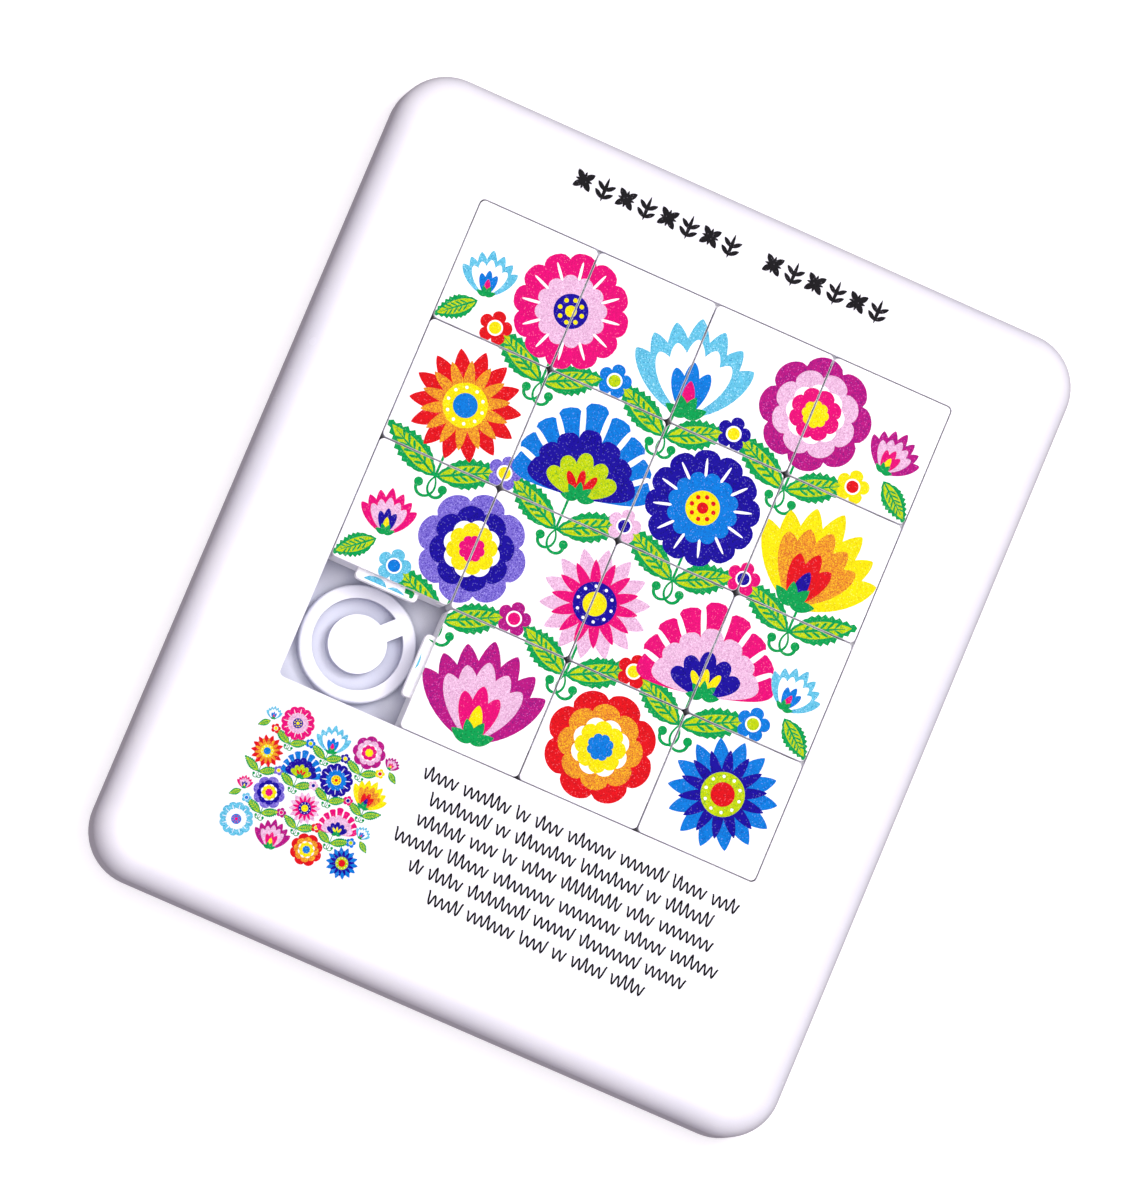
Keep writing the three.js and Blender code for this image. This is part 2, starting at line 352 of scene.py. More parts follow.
def plastic(name, light, dark, gloss, texture=0.0, wear=1.0, recess_shade=0.0, glow=0.3):
    """Moulded plastic with faint flow shading, orange peel, hairline scratches, slightly rubbed edges and
    painted shade in its corners.

    gloss is its roughness when clean, texture the grain of its mould, wear how much its edges are rubbed,
    the recess setting how much painted shade darkens its recesses, and glow how much light spreads inside
    it.
    """
    made, tree = new_material(name)
    place = own_place(tree)
    flow = noise(tree, place, FLOW_SCALE, 3)
    ripple = noise(tree, place, RIPPLE_SCALE, 2)
    grain = noise(tree, place, GRAIN_SCALE, 3, 0.6)
    stretched = node(tree, "Mapping", {
        "Vector": place,
        "Rotation": (0, 0, SCRATCH_TURN),
        "Scale": (1, SCRATCH_STRETCH, 1),
    }).outputs[0]
    scratches = ramp(tree, noise(tree, stretched, SCRATCH_SCALE, 4, 0.7), 0.66, 0.74)
    rubbed = rubbed_edges(tree, grain)
    corner_shade = painted_corner_shade(tree, flow)

    colour = blend_colour(tree, ramp(tree, flow, 0.35, 0.65), light, dark)
    colour = blend_colour(tree, maths(tree, "MULTIPLY", rubbed, 0.35 * wear), colour, RUBBED_COLOUR)
    # painted shade: corners and seams darkened towards a mauve grey by ambient occlusion
    colour = blend_colour(tree, corner_shade, colour, CORNER_SHADE_COLOUR)
    # painted shade: wide recesses darkened towards a bluish grey by ambient occlusion
    if recess_shade:
        wide = node(tree, "AmbientOcclusion", {"Distance": RECESS_SHADE_REACH}, samples=8).outputs["AO"]
        colour = blend_colour(tree, ramp(tree, wide, 0.85, 0.35, 0, recess_shade), colour, RECESS_SHADE_COLOUR)
    rough = ramp(tree, flow, 0.3, 0.7, gloss * 0.9, gloss * 1.15)
    rough = maths(tree, "ADD", rough, maths(tree, "MULTIPLY", scratches, 0.1))
    rough = maths(tree, "ADD", rough, maths(tree, "MULTIPLY", rubbed, 0.15 * wear))
    waves = maths(tree, "MULTIPLY", ripple, 0.6)
    height = maths(tree, "ADD", waves, maths(tree, "MULTIPLY", grain, texture))
    height = maths(tree, "SUBTRACT", height, maths(tree, "MULTIPLY", scratches, 0.12))
    bump = node(tree, "Bump", {"Strength": 0.35, "Distance": BUMP_DEPTH, "Height": height})
    finish_shader(tree, {
        "Base Color": colour,
        "Roughness": rough,
        "IOR": 1.5,
        "Subsurface Weight": glow,
        "Subsurface Radius": (1.0, 1.0, 1.1),
        "Subsurface Scale": 0.6 * MM,
        "Normal": bump.outputs[0],
    })
    return made


DOT = 0.1 * MM  # the print's dot size
INK_DEPTH = 0.78  # how much of its chart colour an ink shows on this plastic
DEEP_INK = 0.72  # the share of its colour that is left where the ink is thickest
PATCH_SCALE, UNEVEN_SCALE = 500, 260  # features per metre
BARE_SPECK = (236, 226, 238)


def printed(shade):
    """A chart colour, 0 to 255, as it shows on this plastic."""
    return tuple(INK_DEPTH * part for part in srgb(*shade)[:3]) + (1,)


def ink(name, ground, dark=None, dark_share=0.0, light=None, light_share=0.05):
    """Printed ink: a ground colour broken up by dots of a darker ink and by pinholes of bare plastic."""
    made, tree = new_material("ink_" + name)
    place = own_place(tree)
    cells = node(tree, "VectorMath", {0: place, 1: (DOT, DOT, 1)}, operation="SNAP").outputs[0]
    dots = node(tree, "TexWhiteNoise", {"Vector": cells}, noise_dimensions="3D")
    chance = dots.outputs["Value"]
    patches = ramp(tree, noise(tree, place, PATCH_SCALE, 3), 0.3, 0.7, 0.6, 1.4)
    is_dark = maths(tree, "LESS_THAN", chance, maths(tree, "MULTIPLY", patches, dark_share))
    no_light = maths(tree, "SUBTRACT", 1, maths(tree, "MULTIPLY", patches, light_share))
    is_light = maths(tree, "GREATER_THAN", chance, no_light)
    uneven = ramp(tree, noise(tree, place, UNEVEN_SCALE, 2), 0.3, 0.7, 0.0, 0.16)
    pinhole = 0.5 if light else 0.1
    base = printed(ground)
    deeper = tuple(DEEP_INK * part for part in base[:3]) + (1,)
    colour = blend_colour(tree, uneven, base, deeper)
    colour = blend_colour(tree, maths(tree, "MULTIPLY", is_dark, 0.8), colour, printed(dark or ground))
    pinholes = maths(tree, "MULTIPLY", is_light, pinhole)
    colour = blend_colour(tree, pinholes, colour, printed(light or BARE_SPECK))
    speckle = node(tree, "SeparateXYZ", {0: dots.outputs["Color"]}).outputs["X"]
    shade = ramp(tree, speckle, 0, 1, 0.8, 1.08)
    colour = node(tree, "VectorMath", {0: colour, "Scale": shade}, operation="SCALE").outputs[0]
    rough = maths(tree, "MULTIPLY_ADD", chance, 0.06, ramp(tree, patches, 0.6, 1.4, 0.36, 0.5))
    bump = node(tree, "Bump", {"Strength": 0.3, "Distance": BUMP_DEPTH, "Height": chance})
    finish_shader(tree, {
        "Base Color": colour,
        "Roughness": rough,
        "Specular IOR Level": 0.04,
        "Normal": bump.outputs[0],
    })
    return made


WHITE_PLASTIC = plastic("white_plastic", srgb(233, 232, 236), srgb(228, 228, 234), 0.24)
TILE_PLASTIC = plastic("tile_plastic", srgb(246, 246, 248), srgb(241, 241, 246), 0.3)
# the cover has painted shade in its channels and round its bosses
COVER_PLASTIC = plastic("cover_plastic", srgb(234, 235, 241), srgb(228, 229, 238), 0.42,
                        texture=0.9, wear=0.6, recess_shade=0.5, glow=0.05)

INKS = {name: ink(name, *shades) for name, *shades in (
    ("magenta", (190, 16, 132), (140, 20, 136), 0.2, (222, 100, 190), 0.06),
    ("hot_pink", (238, 0, 122)),
    ("navy", (22, 0, 160), (10, 0, 110), 0.08),
    ("blue", (0, 128, 224), (0, 100, 205), 0.1),
    ("sky", (104, 204, 234), (60, 170, 222), 0.1, (200, 240, 250), 0.08),
    ("yellow", (255, 240, 0), (246, 214, 0), 0.05),
    ("orange", (242, 160, 36), (226, 104, 50), 0.25, (252, 224, 40), 0.14),
    ("red", (232, 10, 24), (200, 10, 30), 0.08),
    ("green", (0, 168, 82), (0, 140, 70), 0.1),
    ("lime", (200, 224, 0), (120, 196, 40), 0.14),
    ("lilac", (128, 112, 216), (84, 66, 194), 0.2, (186, 178, 236), 0.1),
    ("pale_pink", (243, 196, 228), (236, 170, 216), 0.16, (252, 226, 244), 0.12),
    ("black", (26, 24, 28), (10, 10, 12), 0.1, (120, 116, 124), 0.03),
)}

# ---- the picture: a plain folk-flower pattern ----
# It is drawn in tile widths, x to the right and y up from the field's lower left corner.
PICTURE_ROWS = 4
FLOWER_STEP = 1.01
FLOWER_SIZE, FLOWER_SIZES = 0.45, (0.94, 1.02)  # its half width, and the range that scales it
FLOWER_DRIFT = 0.03  # how far a flower may stand from its even place
FLOWER_LEAN = 14  # degrees by which it may lean
BLOSSOM_SIZE = 0.135
GAP_REACH = 0.62  # from a flower's middle to the middle of the gap above or below it
CORRIDOR = 27  # degrees by which the way between two rows of flowers rises
LEAF_LENGTHS, LEAF_WIDTH = (0.5, 0.6), 0.21
SCROLL_LENGTHS, SCROLL_HEADING, SCROLL_TURN = (0.3, 0.38), 150, 250
STEM_WIDTH = 0.02
BUD_X, BUD_SIZE, BUD_LEAN = 1.72, 0.2, 12  # the buds at both ends of a short row
BUD_LEAF_LENGTH, BUD_LEAF_WIDTH, BUD_LEAF_TURN, BUD_LEAF_DROP = 0.36, 0.16, 130, 0.24
COLOUR_SETS = [colours.split() for colours in (
    "hot_pink pale_pink navy yellow",
    "navy blue yellow red",
    "sky white blue hot_pink",
    "yellow orange red navy",
    "magenta pale_pink hot_pink yellow",
    "lilac navy yellow hot_pink",
    "red orange yellow blue",
    "pale_pink hot_pink navy yellow",
    "blue navy lime red",
)]


def turned(outline, at, heading=0.0):
    """An outline drawn about its own base, set at a place and turned anticlockwise by so many degrees."""
    c, s = math.cos(math.radians(heading)), math.sin(math.radians(heading))
    return [(at[0] + x * c - y * s, at[1] + x * s + y * c) for x, y in outline]


def toward(at, heading, distance):
    """The point at a distance from a place, in the direction of a heading."""
    angle = math.radians(heading)
    return at[0] + distance * math.cos(angle), at[1] + distance * math.sin(angle)


def petal(length, width, base=1.0, tip=0.5, steps=14):
    """A petal. base and tip say how pointed its two ends are: 0.5 is round, 1 is a wedge."""
    belly = base / (base + tip)
    widest = belly**base * (1 - belly) ** tip
    side = []
    for step in range(1, steps):
        t = (1 - math.cos(math.pi * step / steps)) / 2
        side.append((length * t, width / 2 * t**base * (1 - t) ** tip / widest))
    return [(0, 0)] + side + [(length, 0)] + [(x, -y) for x, y in reversed(side)]


def lobed(radius, depth, lobes, sharp=0.6):
    """A round flower with a ring of lobes, centred on its place."""
    steps = lobes * 12
    points = []
    for step in range(steps):
        t = 2 * math.pi * step / steps
        reach = radius - depth * (1 - abs(math.cos(lobes * t / 2)) ** sharp)
        points.append((reach * math.cos(t), reach * math.sin(t)))
    return points


def serrated(length, width, teeth=9, tooth=0.2):
    """A leaf blade with forward-leaning teeth along both sides."""
    side = []
    for step in range(1, teeth + 1):
        t = step / (teeth + 1)
        edge = width / 2 * math.sin(math.pi * t**0.8)
        side += [(length * t, edge), (length * (t + 0.06), edge * (1 + tooth))]
    return [(0, 0)] + side + [(length, 0)] + [(x, -y) for x, y in reversed(side)]


def stroke(line, widths):
    """A closed outline round a line of points, with a width at each point."""
    left, right = [], []
    for i, (x, y) in enumerate(line):
        x0, y0 = line[max(0, i - 1)]
        x1, y1 = line[min(len(line) - 1, i + 1)]
        run = math.hypot(x1 - x0, y1 - y0)
        aside_x, aside_y = -(y1 - y0) / run * widths[i] / 2, (x1 - x0) / run * widths[i] / 2
        left.append((x + aside_x, y + aside_y))
        right.append((x - aside_x, y - aside_y))
    return left + right[::-1]


def curl(start, heading, length, turn, width=0.018, bulb=0.045):
    """A scroll: a line that winds tighter as it goes and ends in a round bulb."""
    steps = 22
    line, widths = [start], [width * 0.75]
    for step in range(steps):
        t = step / steps
        line.append(toward(line[-1], heading + turn * t**1.5, length / steps))
        widths.append(width * (0.75 + 0.9 * t))
    return [("green", stroke(line, widths)), ("green", circle(bulb * 0.8, 18, line[-1]))]


CENTRE = (0, 0)


def ring(colour, count, length, width, base, tip, turn=0.0):
    """Petals all round a centre."""
    shape = petal(length, width, base, tip)
    return [(colour, turned(shape, CENTRE, turn + 360 * i / count)) for i in range(count)]


def fan(colour, root, heading, spread, count, length, width, base, tip, taper=0.0):
    """Petals side by side about a heading, the outer ones shorter by taper."""
    shapes = []
    for i in range(count):
        share = 2 * i / (count - 1) - 1
        shape = petal(length * (1 - taper * abs(share)), width, base, tip)
        shapes.append((colour, turned(shape, root, heading + share * spread / 2)))
    return shapes


def dots(colour, count, reach, size):
    """A ring of dots round a centre."""
    return [(colour, circle(size, 12, toward(CENTRE, 360 * i / count, reach))) for i in range(count)]


# Each flower is drawn with a half width of 1 about its own centre, and placed by set_at.
def daisy(turn, outer, inner, eye, seed):
    """Two rings of round-ended petals, slit by bare plastic, round an eye with a ring of dots."""
    count = 12
    shapes = ring(outer, count, 1, 0.5, 1.1, 0.4, turn)
    shapes += ring("white", count, 0.86, 0.05, 1.5, 0.5, turn)
    shapes += ring(inner, count, 0.62, 0.3, 1.0, 0.45, turn + 180 / count)
    shapes.append((eye, circle(0.3, 32)))
    return shapes + dots(seed, 8, 0.2, 0.04) + [(seed, circle(0.1, 20))]


def rose(turn, outer, inner, eye, seed):
    """Lobed rounds one inside the other, each turned by half a lobe."""
    lobes = 8
    shapes = []
    rounds = (outer, 1), (inner, 0.76), ("white", 0.52), (eye, 0.46), (seed, 0.24)
    for level, (colour, reach) in enumerate(rounds):
        shape = lobed(reach, 0.16 * reach, lobes)
        shapes.append((colour, turned(shape, CENTRE, turn + level * 180 / lobes)))
    return shapes


def sunflower(turn, outer, inner, eye, seed):
    """Two rings of pointed petals round a seed head."""
    count = 14
    shapes = ring(outer, count, 1, 0.34, 0.8, 0.8, turn)
    shapes += ring(inner, count, 0.8, 0.2, 0.8, 0.8, turn + 180 / count)
    shapes.append((eye, circle(0.4, 36)))
    return shapes + dots("white", 10, 0.32, 0.03) + [(seed, circle(0.22, 28))]


def tulip(turn, outer, inner, eye, seed):
    """A bloom seen from the side, opening upwards from green sepals, with stamens between its petals."""
    up = 90 + turn
    root = toward(CENTRE, up, -0.95)
    shapes = fan(outer, root, up, 92, 7, 1.8, 0.5, 0.8, 0.7, 0.16)
    shapes += fan(inner, root, up, 64, 5, 1.42, 0.4, 0.9, 0.6, 0.12)
    shapes += fan(eye, root, up, 40, 3, 1.0, 0.3, 0.8, 0.6, 0.1)
    shapes.append((seed, turned(petal(0.66, 0.24, 0.7, 0.7), root, up)))
    return shapes + fan("green", root, up, 130, 4, 0.42, 0.2, 0.7, 0.9)


def carnation(turn, outer, inner, eye, seed):
    """Broad petals spread like a hand fan, each with a notch, over a smaller fan and a row of stamens."""
    up = 90 + turn
    root = toward(CENTRE, up, -0.8)
    shapes = fan(outer, root, up, 140, 9, 1.66, 0.46, 1.3, 0.3, 0.24)
    shapes += fan("white", root, up, 122, 8, 1.64, 0.1, 2.0, 0.4, 0.21)
    shapes += fan(inner, root, up, 130, 7, 1.2, 0.42, 1.2, 0.35, 0.16)
    shapes += fan(eye, root, up, 110, 5, 0.8, 0.3, 1.0, 0.45, 0.1)
    shapes += fan(seed, root, up, 60, 3, 0.5, 0.14, 0.8, 0.5)
    return shapes + fan("green", root, up, 170, 5, 0.3, 0.14, 0.7, 0.9)


def set_at(shapes, at, size):
    """Shapes drawn about their own centre, grown and set at a place."""
    return [(colour, [(at[0] + size * x, at[1] + size * y) for x, y in outline])
            for colour, outline in shapes]


def blossom(at, size, colour, eye):
    """A small five-petalled flower."""
    return [(colour, turned(lobed(size, 0.36 * size, 5), at, 18)), ("white", circle(0.46 * size, 24, at)),
            (eye, circle(0.36 * size, 24, at))]


def leaf(at, heading, length, width):
    """A toothed leaf with a pale band on each side of its midrib, crossed by side veins."""
    inner = toward(at, heading, 0.06 * length)
    shapes = [("green", turned(serrated(length, width), at, heading)),
              ("lime", turned(petal(0.86 * length, 0.64 * width, 0.7, 0.9), inner, heading)),
              ("green", turned(petal(0.9 * length, 0.1 * width, 0.5, 1.0), at, heading))]
    for step in range(2, 7):
        root = toward(at, heading, 0.11 * length * step)
        for side in (-1, 1):
            vein = petal(0.42 * width, 0.04 * length)
            shapes.append(("green", turned(vein, root, heading + 38 * side)))
    return shapes


def sprig(at, chance):
    """A short stem that ends in two leaves along the way between the flowers, and two scrolls."""
    top = toward(at, 90, GAP_REACH)
    shapes = [("green", stroke([top, at], [STEM_WIDTH] * 2))]
    for side in (-1, 1):
        shapes += leaf(at, 90 - side * (90 - CORRIDOR), chance.uniform(*LEAF_LENGTHS), LEAF_WIDTH)
        length = chance.uniform(*SCROLL_LENGTHS)
        shapes += curl(at, 90 + side * SCROLL_HEADING, length, side * SCROLL_TURN)
    return shapes


def bud(row_middle, side, colours):
    """A small bloom and a leaf that fill one end of a short row."""
    at = (CELLS / 2 + side * BUD_X, row_middle)
    root = toward(at, 90, -BUD_LEAF_DROP)
    green = leaf(root, 90 - side * BUD_LEAF_TURN, BUD_LEAF_LENGTH, BUD_LEAF_WIDTH)
    return green, set_at(tulip(-side * BUD_LEAN, *colours), at, BUD_SIZE)


def draw_picture():
    """Staggered rows of flowers, with leaves under each flower and a small blossom over it."""
    kinds = (daisy, tulip, rose, sunflower, carnation)
    chance = random.Random(4)
    greenery, flowers = [], []
    number = 0
    for row in range(PICTURE_ROWS):
        count = 3 + row % 2
        middle = CELLS - (row + 0.5) * CELLS / PICTURE_ROWS
        for place in range(count):
            across = CELLS / 2 + (place - (count - 1) / 2) * FLOWER_STEP
            colours = COLOUR_SETS[number * 2 % len(COLOUR_SETS)]
            drift = [chance.uniform(-FLOWER_DRIFT, FLOWER_DRIFT) for _ in range(2)]
            at = (across + drift[0], middle + drift[1])
            if row < PICTURE_ROWS - 1:
                greenery += sprig((at[0], middle - GAP_REACH), chance)
            if row > 0:
                greenery += blossom((across, middle + GAP_REACH), BLOSSOM_SIZE, colours[0], colours[2])
            size = FLOWER_SIZE * chance.uniform(*FLOWER_SIZES)
            lean = chance.uniform(-FLOWER_LEAN, FLOWER_LEAN)
            flowers += set_at(kinds[number % len(kinds)](lean, *colours), at, size)
            number += 1
        if count == 3:
            for side in (-1, 1):
                green, bloom = bud(middle, side, COLOUR_SETS[(number + side) % len(COLOUR_SETS)])
                greenery += green
                flowers += bloom
    return greenery + flowers


# ---- printing ----
# The picture is cut into flat regions of one colour each, then made a thin layer of ink.
BARE_EDGE = 0.025 * MM  # the ink runs over the tile's round edge and stops this far short of its side
OVERSPRAY = 0.75 * MM  # how far past its place the ink beside the empty cell landed
INSIDE_OUTLINES, NEAR = 1, 1e-6  # what delaunay_2d_cdt returns, and when two points are one


def anticlockwise(outline):
    area = sum(a[0] * b[1] - b[0] * a[1] for a, b in with_next(outline))
    return outline if area > 0 else outline[::-1]


def cut_by_colour(shapes, windows):
    """Cuts each window into triangles of one colour, the topmost shape's there.

    Returns {window: [(colour, corner numbers)]} and the corners. White is bare plastic, so it makes none.
    """
    points, faces = [], []
    for outline in windows + [outline for _, outline in shapes]:
        first = len(points)
        points += [Vector(point) for point in anticlockwise(outline)]
        faces.append(list(range(first, len(points))))
    corners, _, triangles, _, _, owners = delaunay_2d_cdt(points, [], faces, INSIDE_OUTLINES, NEAR)
    found = {number: [] for number in range(len(windows))}
    for triangle, owner in zip(triangles, owners):
        painted = [number - len(windows) for number in owner if number >= len(windows)]
        colour = shapes[max(painted)][0] if painted else "white"
        if colour == "white":
            continue
        for number in owner:
            if number < len(windows):
                found[number].append((colour, triangle))
    return found, corners


def ink_layer(name, triangles, corners, place, body):
    """A closed layer of ink. place maps a corner of the drawing to the point of the surface under it."""
    layer = bmesh.new()
    numbers = dict.fromkeys(number for _, triangle in triangles for number in triangle)
    places = {number: place(corners[number]) for number in numbers}
    lower, upper = [{number: layer.verts.new((x, y, z + rise)) for number, (x, y, z) in places.items()}
                    for rise in (0, INK_THICKNESS)]
    edges = {edge for _, triangle in triangles for edge in with_next(triangle)}
    used = sorted({colour for colour, _ in triangles})
    for colour, triangle in triangles:
        faces = [[upper[number] for number in triangle], [lower[number] for number in reversed(triangle)]]
        faces += [(lower[a], lower[b], upper[b], upper[a])
                  for a, b in with_next(triangle) if (b, a) not in edges]
        for face in faces:
            layer.faces.new(face).material_index = used.index(colour)
    made = as_object(name, layer)
    for colour in used:
        made.data.materials.append(INKS[colour])
    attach(made, body)


def outline_print(name, shapes):
    """Prints outlines that are given in metres, all in black, on the bezel."""
    left, bottom, right, top = [edge / MM for edge in (*CASE_LOW.xy, *CASE_HIGH.xy)]
    page = [(left, bottom), (right, bottom), (right, top), (left, top)]
    in_mm = [("black", [(x / MM, y / MM) for x, y in outline]) for outline in shapes]
    found, corners = cut_by_colour(in_mm, [page])
    ink_layer(name, found[0], corners, lambda c: (c.x * MM, c.y * MM, FACE_Z), "case")


def tile_surface(x, y):
    """The height of a tile's top at a place from the tile's centre, with its round edge and corners."""
    past = [abs(v) - TILE / 2 + TILE_CORNER for v in (x, y)]
    inset = TILE_CORNER - (math.hypot(*past) if min(past) > 0 else max(past))
    short = min(max(TILE_EDGE - inset, 0), TILE_EDGE)
    return FACE_Z - TILE_EDGE + math.sqrt(TILE_EDGE**2 - short**2)


def on_field(corner):
    """Where a corner of the picture lies on the field of tiles."""
    return FIELD_LEFT + corner.x * PITCH, FIELD_BOTTOM + corner.y * PITCH


def print_tile(row, column, triangles, corners):
    middle_x, middle_y = cell_centre(row, column)

    def place(corner):
        x, y = on_field(corner)
        return x, y, tile_surface(x - middle_x, y - middle_y)
    ink_layer(f"print_row{row}_col{column}", triangles, corners, place, f"tile_row{row}_col{column}")


def tongues_in_empty_cell():
    """The two tongues that reach into the empty cell, as (row, column, side x, side y)."""
    row, column = EMPTY_CELL
    return (row, column + 1, -1, 0), (row - 1, column, 0, -1)


def tongue_window(row, column, side_x, side_y):
    """The flat top of a tongue as an outline on the picture, over the ink that drifted onto it."""
    x, y = cell_centre(row, column)
    reach, length = TONGUE_REACH - 2 * TONGUE_EDGE, TONGUE_LENGTH - 2 * TONGUE_CORNER
    out = TILE / 2 + reach / 2 + OVERSPRAY
    middle = (x + side_x * out - FIELD_LEFT) / PITCH, (y + side_y * out - FIELD_BOTTOM) / PITCH
    width, height = (reach, length) if side_x else (length, reach)
    return rounded_rectangle(width / PITCH, height / PITCH, 0.3 * reach / PITCH, 3, middle)


def print_tongue(row, column, side_x, side_y, triangles, corners):
    """Ink that was sprayed past the empty cell's edge, onto a neighbour's tongue."""
    def place(corner):
        x, y = on_field(corner)
        return x - side_x * OVERSPRAY, y - side_y * OVERSPRAY, TONGUE_HIGH
    name = f"row{row}_col{column}"
    ink_layer(f"overspray_{name}", triangles, corners, place, f"tile_{name}")


def print_pictures():
    """The tiles' own parts of the picture, the ink beside the empty cell, and the small whole picture."""
    insets = [inset for inset, _ in edge_steps(TILE_EDGE, TILE_EDGE_STEPS) if inset >= BARE_EDGE]
    tongues = tongues_in_empty_cell()
    windows = [rounded_rectangle(CELLS, CELLS, 0.001, 1, (CELLS / 2, CELLS / 2))]
    windows += [tongue_window(*tongue) for tongue in tongues]
    first_tile = len(windows)
    for inset in insets:
        for row, column in CELL_PLACES:
            size = (TILE - 2 * inset) / PITCH
            corner = (TILE_CORNER - inset) / PITCH
            windows.append(rounded_rectangle(size, size, corner, 4, (column - 0.5, CELLS - row + 0.5)))
    found, corners = cut_by_colour(draw_picture(), windows)

    for number, (row, column) in enumerate(CELL_PLACES, first_tile):
        if (row, column) != EMPTY_CELL:
            print_tile(row, column, found[number], corners)
    for number, tongue in enumerate(tongues, 1):
        print_tongue(*tongue, found[number], corners)
    scale = SMALL_PICTURE / CELLS
    foot = SMALL_PICTURE_TOP - SMALL_PICTURE
    ink_layer("small_picture_print", found[0], corners,
              lambda corner: (FIELD_LEFT + corner.x * scale, foot + corner.y * scale, FACE_Z), "case")


# ---- print on the bezel ----
SMALL_PICTURE = 16.1 * MM
SMALL_PICTURE_TOP = FIELD_BOTTOM - 1.9 * MM
TITLE_X = FIELD_X - 1.1 * MM
TITLE_Y = FIELD_TOP + 4.9 * MM  # the foot of the title line
TITLE_HEIGHT = 2.8 * MM
TITLE_MARKS = 8, 6  # marks in each of its two groups
TITLE_STEP = 2.5 * MM
LINE_X = FIELD_X + 8.9 * MM
LINE_FIRST = FIELD_BOTTOM - 3.4 * MM
LINE_STEP = 2.44 * MM
LINE_LENGTHS = [36.9, 33.5, 34.4, 37.6, 32.2, 25.8]  # in mm
LINE_STROKE = 0.2 * MM
WORD_HEIGHT = 1.1 * MM
WORD_WAVE = 0.78 * MM
WORD_GAP = 0.72 * MM
WORD_WAVES = (2, 4, 5, 6, 7, 9)  # how many waves a word may have
STROKE_RISES = (1, 1, 1, 1.7)  # one stroke in four or so is tall
WAVE_STEPS = 8


def title_ornament():
    """A row of four-leaved flowers and sprigs where a title would stand. It spells nothing."""
    shapes = []
    half = TITLE_HEIGHT / 2
    x = TITLE_X - (sum(TITLE_MARKS) + 1) * TITLE_STEP / 2
    middle = TITLE_Y + half
    for group in TITLE_MARKS:
        for mark in range(group):
            centre = x + TITLE_STEP / 2
            if mark % 2:
                parts = [(-half, 90, 2 * half, 0.3 * half)]
                parts += [(level * half, heading, 0.95 * half, 0.36 * half)
                          for level in (-0.75, -0.1) for heading in (38, 142)]
            else:
                parts = [(0, heading, 0.98 * half, 0.5 * half) for heading in range(45, 405, 90)]
                parts += [(0, heading, 0.7 * half, 0.22 * half) for heading in range(0, 360, 90)]
            for level, heading, length, width in parts:
                shape = petal(length, width, 0.8, 0.8, 8)
                shapes.append(turned(shape, (centre, middle + level), heading))
            x += TITLE_STEP
        x += TITLE_STEP
    return shapes


def small_lines():
    """Centred lines of looped strokes where small print would stand. Each stroke stands for a word."""
    shapes = []
    chance = random.Random(7)
    for row, length in enumerate(LINE_LENGTHS):
        y = LINE_FIRST - row * LINE_STEP
        x = LINE_X - length * MM / 2
        end = LINE_X + length * MM / 2
        while x < end - WORD_WAVE:
            waves = chance.choice(WORD_WAVES)
            if end - x < (waves + 3) * WORD_WAVE + WORD_GAP:
                waves = max(1, round((end - x) / WORD_WAVE))
            rises = [chance.choice(STROKE_RISES) for _ in range(waves + 1)]
            points = []
            for step in range(waves * WAVE_STEPS + 1):
                t = step / WAVE_STEPS
                rise = math.cos(2 * math.pi * t)
                if rise > 0:
                    rise *= rises[round(t)]
                points.append((x + WORD_WAVE * t, y + WORD_HEIGHT / 2 * rise))
            shapes += [stroke([a, b], [LINE_STROKE] * 2) for a, b in zip(points, points[1:])]
            shapes += [circle(LINE_STROKE / 2, 6, point) for point in points[1:-1]]
            x += waves * WORD_WAVE + WORD_GAP
    return shapes


# ---- pieces ----
def edge_steps(radius, count):
    """(inset, drop) pairs round a quarter circle, from the side wall up to the top face."""
    turns = [math.pi / 2 * step / count for step in range(count + 1)]
    return [(radius * (1 - math.cos(t)), radius * (1 - math.sin(t))) for t in turns]


def rounded_block(width, length, corner, bottom, top, edge, bottom_edge=0.0, steps=6, edge_count=5):
    """A block with round corners in plan, a round edge on top and, where given, a round edge below."""
    rings = []
    if bottom_edge:
        rings += [(inset, bottom + drop) for inset, drop in reversed(edge_steps(bottom_edge, 3))]
    else:
        rings.append((0, bottom))
    rings += [(inset, top - drop) for inset, drop in edge_steps(edge, edge_count)]
    outlines = []
    for inset, z in rings:
        radius = max(corner - inset, corner * 0.1)
        outlines.append((rounded_rectangle(width - 2 * inset, length - 2 * inset, radius, steps), z))
    return loft(outlines)


def prism(outline, bottom, top):
    return loft([(outline, bottom), (outline, top)])


def block(low, high):
    """A plain block between two corners."""
    outline = [(low[0], low[1]), (high[0], low[1]), (high[0], high[1]), (low[0], high[1])]
    return prism(outline, low[2], high[2])


def pillar(radius, bottom, top, edge, edge_count, sides, centre=(0, 0)):
    """An upright round post with a round edge on top."""
    rings = [(circle(radius, sides, centre), bottom)]
    rings += [(circle(radius - inset, sides, centre), top - drop)
              for inset, drop in edge_steps(edge, edge_count)]
    return loft(rings)


def flared(outline, bottom, top, edge, edge_count):
    """A cutting shape that widens by a round edge at the top face. outline takes how much it widens."""
    levels = [(0, bottom)] + [(inset, top - drop) for inset, drop in edge_steps(edge, edge_count)]
    return loft([(outline(grow), z) for grow, z in levels + [(edge, top + OVER)]])


def give_surface(body, material):
    """Shades a finished piece and gives it its one material."""
    shade_by_angle(body)
    body.data.materials.clear()
    body.data.materials.append(material)


